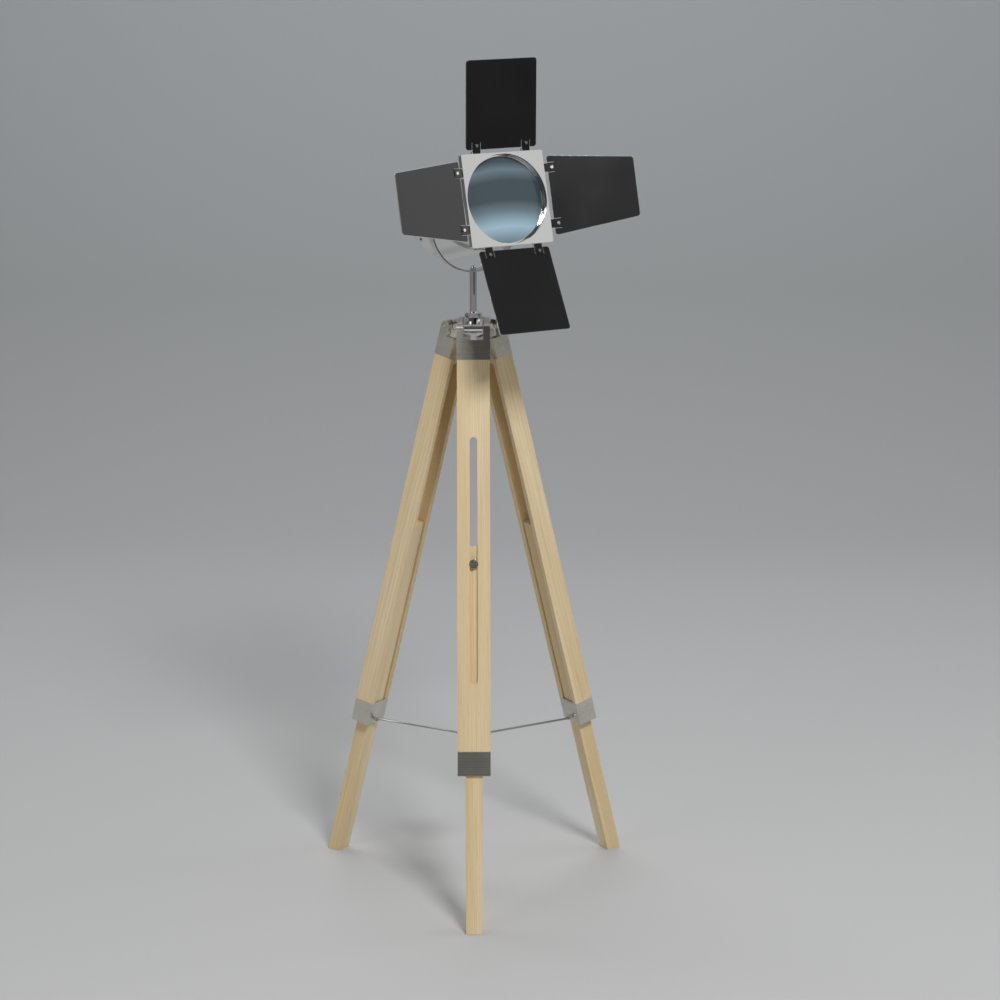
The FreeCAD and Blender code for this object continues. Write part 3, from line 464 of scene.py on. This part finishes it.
@dataclass(frozen=True)
class Moulded(Finish):
    """Moulded plastic or glazed ceramic with a fine grain."""

    colour: Colour = tone(28, 28, 28)
    roughness: float = 0.45

    def paint(self, paint: Painter) -> Link:
        """A moulded surface with fine grain."""
        grain = paint.noise(paint.spot(), 1100.0, 2.0)
        lighter = tuple(min(1.0, 1.25 * c + 0.003) for c in self.colour[:3]) + (1.0,)
        return paint.surface(
            Base_Color=paint.blend(grain.between(0.4, 0.8), self.colour, lighter),
            Roughness=grain.between(0.3, 0.8, self.roughness - 0.06, self.roughness + 0.08),
            Normal=paint.bump(grain, 0.02 * MM, 0.35))


@dataclass(frozen=True)
class StudioPaper(Finish):
    """Seamless grey paper with painted light that makes it brighter near the camera."""

    near: Colour = tone(196, 196, 196)
    far: Colour = tone(192, 193, 194)
    middle: Colour = tone(180, 183, 185)
    high: Colour = tone(206, 211, 214)

    def paint(self, paint: Painter) -> Link:
        """Grey with painted light and shade: it darkens away from the camera and lightens again up the backdrop.
        """
        point = paint.spot()
        depth = paint.along(point, Vector((0, 1, 0)))
        height = paint.along(point, Vector((0, 0, 1)))
        sweep = (depth * 0.5 + height * 0.5).between(-0.6, 3.2)
        # Painted light and shade: the ramp stands in for the lamps' fall-off over the paper.
        stops = [(0.0, self.near), (0.42, self.far), (0.7, self.middle), (1.0, self.high)]
        colour = paint.add("ShaderNodeValToRGB", {"stops": stops}, [sweep])
        return paint.surface(Base_Color=colour, Roughness=0.9, Specular_IOR_Level=0.1)


CHROME = Plate("polished_chrome")
KNOB_CHROME = Plate("knob_chrome", gloss=(0.1, 0.18))
ROD_STEEL = SatinMetal("drawn_steel", colour=tone(176, 176, 174), roughness=0.3)
SCREW_STEEL = Plate("screw_steel", colour=tone(214, 212, 206), gloss=(0.18, 0.28))
SPUN_ALUMINIUM = Plate("spun_aluminium", colour=tone(150, 156, 162), gloss=(0.18, 0.28))
YOKE_CHROME = SatinMetal("yoke_chrome", colour=tone(222, 222, 220), roughness=0.3)
BRASS = Plate("turned_brass", colour=tone(205, 172, 104), gloss=(0.2, 0.3))
BLACK_PAINT = BlackSheet("satin_black_paint")
BULB_GLASS = FrostedGlass("frosted_bulb_glass")
BLACK_NYLON = Moulded("black_nylon")
WHITE_GLAZE = Moulded("white_glaze", colour=tone(232, 230, 222), roughness=0.25)


# ------------------------------------------------------------------ pieces


@dataclass(frozen=True)
class EdgeStyle:
    """How the edges of a piece are eased."""

    radius: float = 0.4 * MM
    segments: int = 2
    sharper_than: float = math.radians(35)
    smooth_below: float = math.radians(32)


def closed_copy(node: str) -> bpy.types.Mesh:
    """Copy the mesh of a frame node, with its loose triangles merged into faces.

    Args:
        node: Name of the node.

    Returns:
        The merged mesh.
    """
    mesh = frame["nodes"][node].data.copy()
    shape = bmesh.new()
    shape.from_mesh(mesh)
    bmesh.ops.remove_doubles(shape, verts=shape.verts, dist=2e-6)
    bmesh.ops.dissolve_limit(shape, angle_limit=math.radians(0.6), verts=shape.verts,
                             edges=shape.edges, delimit={"NORMAL"})
    shape.to_mesh(mesh)
    shape.free()
    return mesh


def body_of(node: str) -> str:
    """The body that carries a node."""
    bodies = frame["record"]["behaviour"]["bodies"]
    return next(body for body, members in bodies.items() if node in members)


def eased(node: str, finish: Finish, style: EdgeStyle = EdgeStyle()) -> bpy.types.Object:
    """Dress a node with a copy of itself that has eased edges and a finish.

    Args:
        node: Name of the node.
        finish: The surface finish.
        style: How the edges are eased.

    Returns:
        The new piece, riding on the node's body.
    """
    mesh = closed_copy(node)
    mesh.materials.clear()
    mesh.materials.append(finish.material())
    piece = bpy.data.objects.new(f"{node}_finished", mesh)
    bpy.context.scene.collection.objects.link(piece)
    mesh.shade_smooth()
    mesh.set_sharp_from_angle(angle=style.smooth_below)
    if style.radius > 0:
        bevel = piece.modifiers.new("eased_edges", "BEVEL")
        bevel.width = style.radius
        bevel.segments = style.segments
        bevel.limit_method = "ANGLE"
        bevel.angle_limit = style.sharper_than
        bevel.use_clamp_overlap = True
        bevel.harden_normals = True
    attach(piece, body_of(node))
    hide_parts(node)
    log.info("%s: %s", piece.name, finish.name)
    return piece


# ------------------------------------------------------------------ screw heads


@dataclass
class SlottedHeads:
    """Slotted, slightly domed screw heads, set on points by a geometry node tree."""

    radius: float
    height: float
    slot_width: float = 0.8 * MM
    slot_depth: float = 0.5 * MM

    def tree(self, finish: Finish) -> bpy.types.NodeTree:
        """Build the node tree.

        Args:
            finish: Finish of the heads.

        Returns:
            A tree that turns points with a facing into screw heads.
        """
        tree = bpy.data.node_groups.new("slotted_heads", "GeometryNodeTree")
        face = tree.interface
        face.new_socket("Seats", in_out="INPUT", socket_type="NodeSocketGeometry")
        for name in ("Head Radius", "Head Height", "Slot Width", "Slot Depth"):
            face.new_socket(name, in_out="INPUT", socket_type="NodeSocketFloat")
        face.new_socket("Heads", in_out="OUTPUT", socket_type="NodeSocketGeometry")
        paint = Painter(tree)
        entry = tree.nodes.new("NodeGroupInput")

        def given(name: str) -> Link:
            """One of the tree's inputs."""
            return Link(tree, entry.outputs[name])

        half = given("Head Height") * 0.5
        drum = paint.add("GeometryNodeMeshCylinder", values={
            "Vertices": 28, "Side Segments": 2, "Radius": given("Head Radius"),
            "Depth": given("Head Height")}, output="Mesh")
        dome = paint.add("GeometryNodeMeshUVSphere", values={
            "Segments": 28, "Rings": 20, "Radius": given("Head Radius") * 1.12})
        low_dome = paint.add("GeometryNodeTransform", values={
            "Geometry": dome, "Scale": paint.join(1.0, 1.0, 0.62)})
        domed = paint.add("GeometryNodeMeshBoolean", {"operation": "INTERSECT", "solver": "EXACT"},
                          {1: drum}, 0)
        tree.links.new(low_dome.socket, domed.socket.node.inputs[1])
        slot_size = paint.join(given("Head Radius") * 4.0, given("Slot Width"),
                               given("Slot Depth") * 2.0)
        key = paint.add("GeometryNodeMeshCube", values={"Size": slot_size}, output="Mesh")
        raised = paint.add("GeometryNodeTransform", values={
            "Geometry": key, "Translation": paint.join(0.0, 0.0, half)})
        head = paint.add("GeometryNodeMeshBoolean", {"operation": "DIFFERENCE", "solver": "EXACT"},
                         {0: domed, 1: raised}, 0)
        seated = paint.add("GeometryNodeTransform", values={
            "Geometry": head, "Translation": paint.join(0.0, 0.0, half)})
        facing = paint.add("GeometryNodeInputNamedAttribute", {"data_type": "FLOAT_VECTOR"},
                           {"Name": "facing"})
        turn = paint.add("FunctionNodeAlignRotationToVector", {"axis": "Z"}, {"Vector": facing})
        copies = paint.add("GeometryNodeInstanceOnPoints", values={
            "Points": given("Seats"), "Instance": seated, "Rotation": turn})
        real = paint.add("GeometryNodeRealizeInstances", values=[copies])
        coated = paint.add("GeometryNodeSetMaterial", values={
            "Geometry": real, "Material": finish.material()})
        exit_node = tree.nodes.new("NodeGroupOutput")
        tree.links.new(coated.socket, exit_node.inputs["Heads"])
        return tree

    def on(self, name: str, seats: list[tuple[Vector, Vector]], finish: Finish) -> bpy.types.Object:
        """Make the heads as one plain mesh.

        Args:
            name: Name of the piece.
            seats: Seat and facing of each head.
            finish: Finish of the heads.

        Returns:
            The piece, at the origin.
        """
        points = bpy.data.meshes.new(f"{name}_seats")
        points.from_pydata([seat for seat, _ in seats], [], [])
        facing = points.attributes.new("facing", "FLOAT_VECTOR", "POINT")
        facing.data.foreach_set("vector", [c for _, line in seats for c in line])
        carrier = bpy.data.objects.new(f"{name}_carrier", points)
        bpy.context.scene.collection.objects.link(carrier)
        tree = self.tree(finish)
        modifier = carrier.modifiers.new("heads", "NODES")
        modifier.node_group = tree
        wanted = {"Head Radius": self.radius, "Head Height": self.height,
                  "Slot Width": self.slot_width, "Slot Depth": self.slot_depth}
        for item in tree.interface.items_tree:
            if item.name in wanted:
                modifier[item.identifier] = wanted[item.name]
        graph = bpy.context.evaluated_depsgraph_get()
        mesh = bpy.data.meshes.new_from_object(carrier.evaluated_get(graph), depsgraph=graph)
        mesh.shade_smooth()
        mesh.set_sharp_from_angle(angle=math.radians(30))
        bpy.data.objects.remove(carrier)
        piece = bpy.data.objects.new(name, mesh)
        bpy.context.scene.collection.objects.link(piece)
        return piece


# ------------------------------------------------------------------ sub-assemblies


class Side(Enum):
    """A leg, by where it stands."""

    FRONT = "front"
    LEFT = "left"
    RIGHT = "right"


class Flap(Enum):
    """A barn door, with how far it leans forward at rest."""

    TOP = ("top", math.radians(15))
    RIGHT = ("right", math.radians(20))
    BOTTOM = ("bottom", math.radians(15))
    LEFT = ("left", math.radians(16))

    @property
    def word(self) -> str:
        """The door's word in the names of its pieces."""
        return self.value[0]

    @property
    def lean(self) -> float:
        """Angle between the door and the front plate's plane."""
        return self.value[1]


@dataclass
class Hub:
    """The chromed hub, its collar and post, and the swivel on top."""

    pin_height: float = 958 * MM
    screw_circle: float = 15.9 * MM
    hub_top: float = 10 * MM
    collar_radius: float = 12.5 * MM
    collar_screw_rise: float = 16.6 * MM
    heads: SlottedHeads = field(default_factory=lambda: SlottedHeads(3 * MM, 2 * MM))

    def build(self) -> None:
        """Dress the hub's pieces."""
        cast = EdgeStyle(radius=0.9 * MM, segments=3)
        for node in ("hub_spider", "post_collar"):
            eased(node, CHROME, cast)
        for node in ("post_tube", "swivel_nut", "hub_nut", "swivel_stud"):
            eased(node, CHROME)
        self.build_screws()

    def build_screws(self) -> None:
        """Set the three upright screws of the hub and the three screws of its collar."""
        seats = []
        for side in (0, 120, -120):
            turn = Matrix.Rotation(math.radians(side), 3, "Z")
            top = Vector((0, self.screw_circle, self.pin_height + self.hub_top))
            wall = Vector((0, self.collar_radius, self.pin_height + self.collar_screw_rise))
            seats.append((turn @ top, Vector((0, 0, 1))))
            seats.append((turn @ wall, turn @ Vector((0, 1, 0))))
        piece = self.heads.on("hub_screw_heads", seats, SCREW_STEEL)
        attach(piece, "base")
        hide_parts("hub_screws")
        log.info("%s: %d screws", piece.name, len(seats))


@dataclass
class Leg:
    """One leg: bracket, hinge pin, upper and lower wood, band and clamp."""

    side: Side

    def build(self) -> None:
        """Dress the leg's pieces."""
        side = self.side.value
        slide = next(j for j in frame["joints"] if j["name"] == f"lower_leg_{side}_slide")
        fold = next(j for j in frame["joints"] if j["name"] == f"leg_{side}_fold")
        down = Vector(slide["axis"]).normalized()
        across = Vector(fold["axis"]).normalized()
        outward = across.cross(down)
        shift = fold["pos_m"][0] * 37.0 + fold["pos_m"][1] * 11.0
        upper = LegWood(f"upper_wood_{side}", down, across, outward, shift)
        lower = LegWood(f"lower_wood_{side}", down, across, outward, shift + 5.0)
        nickel = SatinMetal(f"satin_nickel_{side}", line=down)
        eased(f"upper_leg_{side}", upper, EdgeStyle(radius=1.1 * MM, segments=3))
        eased(f"lower_leg_{side}", lower, EdgeStyle(radius=0.9 * MM, segments=3))
        eased(f"leg_bracket_{side}", nickel, EdgeStyle(radius=0.8 * MM, segments=3))
        eased(f"leg_band_{side}", nickel, EdgeStyle(radius=0.5 * MM))
        for part in ("hinge_pin", "clamp_washer", "clamp_screw"):
            eased(f"{part}_{side}", SCREW_STEEL)


@dataclass
class Spreader:
    """The three rods and the plate in the middle."""

    def build(self) -> None:
        """Dress the rods and the plate."""
        for side in Side:
            eased(f"spreader_rod_{side.value}", ROD_STEEL, EdgeStyle(radius=0.0))
        eased("spreader_plate", ROD_STEEL)


@dataclass
class LampHead:
    """The can with its yoke, front plate, lens, reflector and rear cap."""

    can_back: float = 74 * MM
    can_radius: float = 74 * MM
    heads: SlottedHeads = field(default_factory=lambda: SlottedHeads(2.8 * MM, 2 * MM))

    def build(self) -> None:
        """Dress the pieces of the head."""
        tilt = next(j for j in frame["joints"] if j["name"] == "head_tilt")
        pivot, right = Vector(tilt["pos_m"]), Vector(tilt["axis"]).normalized()
        side_door = next(j for j in frame["joints"] if j["name"] == "door_left_swing")
        upward = Vector(side_door["axis"]).normalized()
        eased("yoke", YOKE_CHROME, EdgeStyle(radius=0.5 * MM))
        eased("lamp_can", CHROME, EdgeStyle(radius=0.3 * MM))
        eased("rear_cap", CHROME, EdgeStyle(radius=0.3 * MM))
        eased("front_plate", CHROME, EdgeStyle(radius=0.3 * MM))
        eased("pivot_bushes", BRASS)
        for side in ("left", "right"):
            eased(f"tilt_knob_{side}", KNOB_CHROME, EdgeStyle(radius=0.5 * MM))
        eased("lens_ring", CHROME)
        eased("lens", LensGlass("spot_lens_painted_reflections", upward, right, pivot), EdgeStyle(radius=0.0))
        eased("reflector", SPUN_ALUMINIUM, EdgeStyle(radius=0.0))
        eased("lamp_holder", WHITE_GLAZE)
        eased("bulb", BULB_GLASS, EdgeStyle(radius=0.0))
        eased("cable_gland", BLACK_NYLON)
        eased("door_hinge_pins", SCREW_STEEL, EdgeStyle(radius=0.2 * MM))
        self.build_screws(pivot, right, upward)

    def build_screws(self, pivot: Vector, right: Vector, upward: Vector) -> None:
        """Set the screws that hold the rear cap.

        Args:
            pivot: A point on the head's tilt axis and the can's axis.
            right: The tilt axis.
            upward: The head's own up direction.
        """
        backward = upward.cross(right)
        seats = []
        for angle in (0, 120, -120):
            line = Matrix.Rotation(math.radians(angle), 3, backward) @ upward
            seats.append((pivot + backward * self.can_back + line * self.can_radius, line))
        piece = self.heads.on("rear_cap_screw_heads", seats, SCREW_STEEL)
        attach(piece, "head")
        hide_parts("rear_cap_screws")
        log.info("%s: %d screws", piece.name, len(seats))


@dataclass
class BarnDoor:
    """One barn door with its straps and screws."""

    flap: Flap
    hinge_spacing: float = 91 * MM
    root_half: float = 65 * MM
    tip_half: float = 48.6 * MM
    rivet_station: float = 11 * MM
    strap_face: float = 2.2 * MM
    nut_face: float = 0.2 * MM
    heads: SlottedHeads = field(
        default_factory=lambda: SlottedHeads(2.6 * MM, 1.5 * MM, 0.7 * MM, 0.45 * MM))

    def build(self) -> None:
        """Dress the door's pieces."""
        swing = next(j for j in frame["joints"] if j["name"] == f"door_{self.flap.word}_swing")
        tilt = next(j for j in frame["joints"] if j["name"] == "head_tilt")
        hinge, line = Vector(swing["pos_m"]), Vector(swing["axis"]).normalized()
        right = Vector(tilt["axis"]).normalized()
        side_door = next(j for j in frame["joints"] if j["name"] == "door_left_swing")
        upward = Vector(side_door["axis"]).normalized()
        forward = right.cross(upward)
        outward = line.cross(forward) * -1.0
        along = outward * math.cos(self.flap.lean) + forward * math.sin(self.flap.lean)
        front = forward * math.cos(self.flap.lean) - outward * math.sin(self.flap.lean)
        tip_half = self.tip_half if self.flap in (Flap.LEFT, Flap.RIGHT) else self.root_half
        sheet = DoorSheet(f"door_paint_{self.flap.word}", hinge=hinge, line=line, along=along,
                          root_half=self.root_half, tip_half=tip_half)
        eased(f"barn_door_{self.flap.word}", sheet, EdgeStyle(radius=0.2 * MM))
        eased(f"door_straps_{self.flap.word}", BLACK_PAINT, EdgeStyle(radius=0.2 * MM))
        self.build_screws(hinge, line, along, front)

    def build_screws(self, hinge: Vector, line: Vector, along: Vector, front: Vector) -> None:
        """Set the two strap screws and their nuts.

        Args:
            hinge: A point on the hinge line, halfway along it.
            line: The hinge line's direction.
            along: The door's direction away from its hinge.
            front: The direction that the door's face looks in.
        """
        seats = []
        for share in (-0.5, 0.5):
            centre = hinge + line * (share * self.hinge_spacing) + along * self.rivet_station
            seats.append((centre + front * self.strap_face, front))
            seats.append((centre + front * self.nut_face, -front))
        piece = self.heads.on(f"strap_screw_heads_{self.flap.word}", seats, SCREW_STEEL)
        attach(piece, f"door_{self.flap.word}")
        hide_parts(f"door_screws_{self.flap.word}")
        log.info("%s: %d heads and nuts", piece.name, len(seats))


# ------------------------------------------------------------------ studio


@dataclass
class Studio:
    """Seamless paper, lamps and world."""

    width: float = 16.0
    front: float = -9.0
    wall: float = 4.6
    sweep: float = 2.2
    top: float = 7.0
    steps: int = 24

    def build(self) -> None:
        """Build the paper, the lamps and the world."""
        self.build_paper()
        self.build_world()
        self.add_lamp("key_softbox", (1.2, -3.45, 3.95), (0, 0, 0.75), (1.0, 1.0), 130)
        self.add_lamp("fill_softbox", (-3.4, -3.6, 2.2), (0, 0, 0.8), (2.2, 2.2), 30)
        self.add_lamp("side_panel", (3.8, 0.6, 2.4), (0, 0, 1.1), (2.6, 2.2), 20)
        self.add_lamp("plate_panel", (3.0, -1.8, 2.3), (0, 0, 1.1), (1.5, 1.7), 5)
        self.add_lamp("top_softbox", (-0.5, 1.6, 3.8), (0, 1.0, 0.6), (2.4, 1.6), 40)

    def build_paper(self) -> None:
        """Sweep the paper's section from the floor up the wall."""
        section = [(self.front, 0.0), (self.wall - self.sweep, 0.0)]
        for step in range(1, self.steps + 1):
            angle = math.pi / 2 * step / self.steps
            section.append((self.wall - self.sweep + self.sweep * math.sin(angle),
                            self.sweep - self.sweep * math.cos(angle)))
        section.append((self.wall, self.top))
        points, faces = [], []
        for depth, height in section:
            points += [(-self.width / 2, depth, height), (self.width / 2, depth, height)]
        for row in range(len(section) - 1):
            faces.append((2 * row, 2 * row + 1, 2 * row + 3, 2 * row + 2))
        mesh = bpy.data.meshes.new("paper_sweep")
        mesh.from_pydata(points, [], faces)
        mesh.materials.append(StudioPaper("studio_paper_painted_light").material())
        mesh.shade_smooth()
        paper = bpy.data.objects.new("paper_sweep", mesh)
        bpy.context.scene.collection.objects.link(paper)

    def build_world(self) -> None:
        """A grey room, darker behind the camera and lighter overhead."""
        world = bpy.data.worlds.new("studio_room")
        bpy.context.scene.world = world
        world.use_nodes = True
        world.node_tree.nodes.clear()
        paint = Painter(world.node_tree)
        direction = paint.add("ShaderNodeTexCoord", output="Generated")
        height = paint.along(direction, Vector((0, 0, 1)))
        depth = paint.along(direction, Vector((0, 1, 0)))
        level = height.between(-0.1, 0.8, 0.30, 0.62) * depth.between(-0.45, 0.6, 0.16, 1.1)
        light = paint.add("ShaderNodeBackground", values={
            "Color": (1.0, 1.0, 1.0, 1.0), "Strength": level})
        output = world.node_tree.nodes.new("ShaderNodeOutputWorld")
        world.node_tree.links.new(light.socket, output.inputs["Surface"])

    def add_lamp(self, name: str, place: tuple[float, float, float],
                 target: tuple[float, float, float], size: tuple[float, float],
                 power: float) -> None:
        """Add a rectangular softbox.

        Args:
            name: Name of the lamp.
            place: Where it stands.
            target: What it points at.
            size: Width and height.
            power: Power in watts.
        """
        lamp = bpy.data.lights.new(name, "AREA")
        lamp.shape = "RECTANGLE"
        lamp.size, lamp.size_y = size
        lamp.energy = power
        stand = bpy.data.objects.new(name, lamp)
        stand.location = place
        line = Vector(target) - Vector(place)
        stand.rotation_euler = line.to_track_quat("-Z", "Y").to_euler()
        bpy.context.scene.collection.objects.link(stand)


@dataclass
class PhotoCamera:
    """The camera of the photograph."""

    place: tuple[float, float, float] = (0.0, -4.93667, 1.80615)
    dip: float = math.radians(13.065)
    turn: float = math.radians(0.513)
    lens: float = 109.03
    sensor: float = 36.0

    def build(self) -> None:
        """Add the camera and look through it."""
        data = bpy.data.cameras.new("photo_camera")
        data.lens = self.lens
        data.sensor_width = self.sensor
        data.clip_end = 60.0
        camera = bpy.data.objects.new("photo_camera", data)
        camera.location = self.place
        camera.rotation_euler = (math.pi / 2 - self.dip, 0.0, -self.turn)
        bpy.context.scene.collection.objects.link(camera)
        bpy.context.scene.camera = camera


def main() -> None:
    """Build the lamp's finishes, the studio and the camera."""
    logging.basicConfig(level=logging.INFO, format="%(name)s %(message)s")
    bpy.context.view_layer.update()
    bpy.context.scene.view_settings.view_transform = "Standard"
    PhotoCamera().build()
    Studio().build()
    Hub().build()
    for side in Side:
        Leg(side).build()
    Spreader().build()
    LampHead().build()
    for flap in Flap:
        BarnDoor(flap).build()


if __name__ == "__main__":
    main()
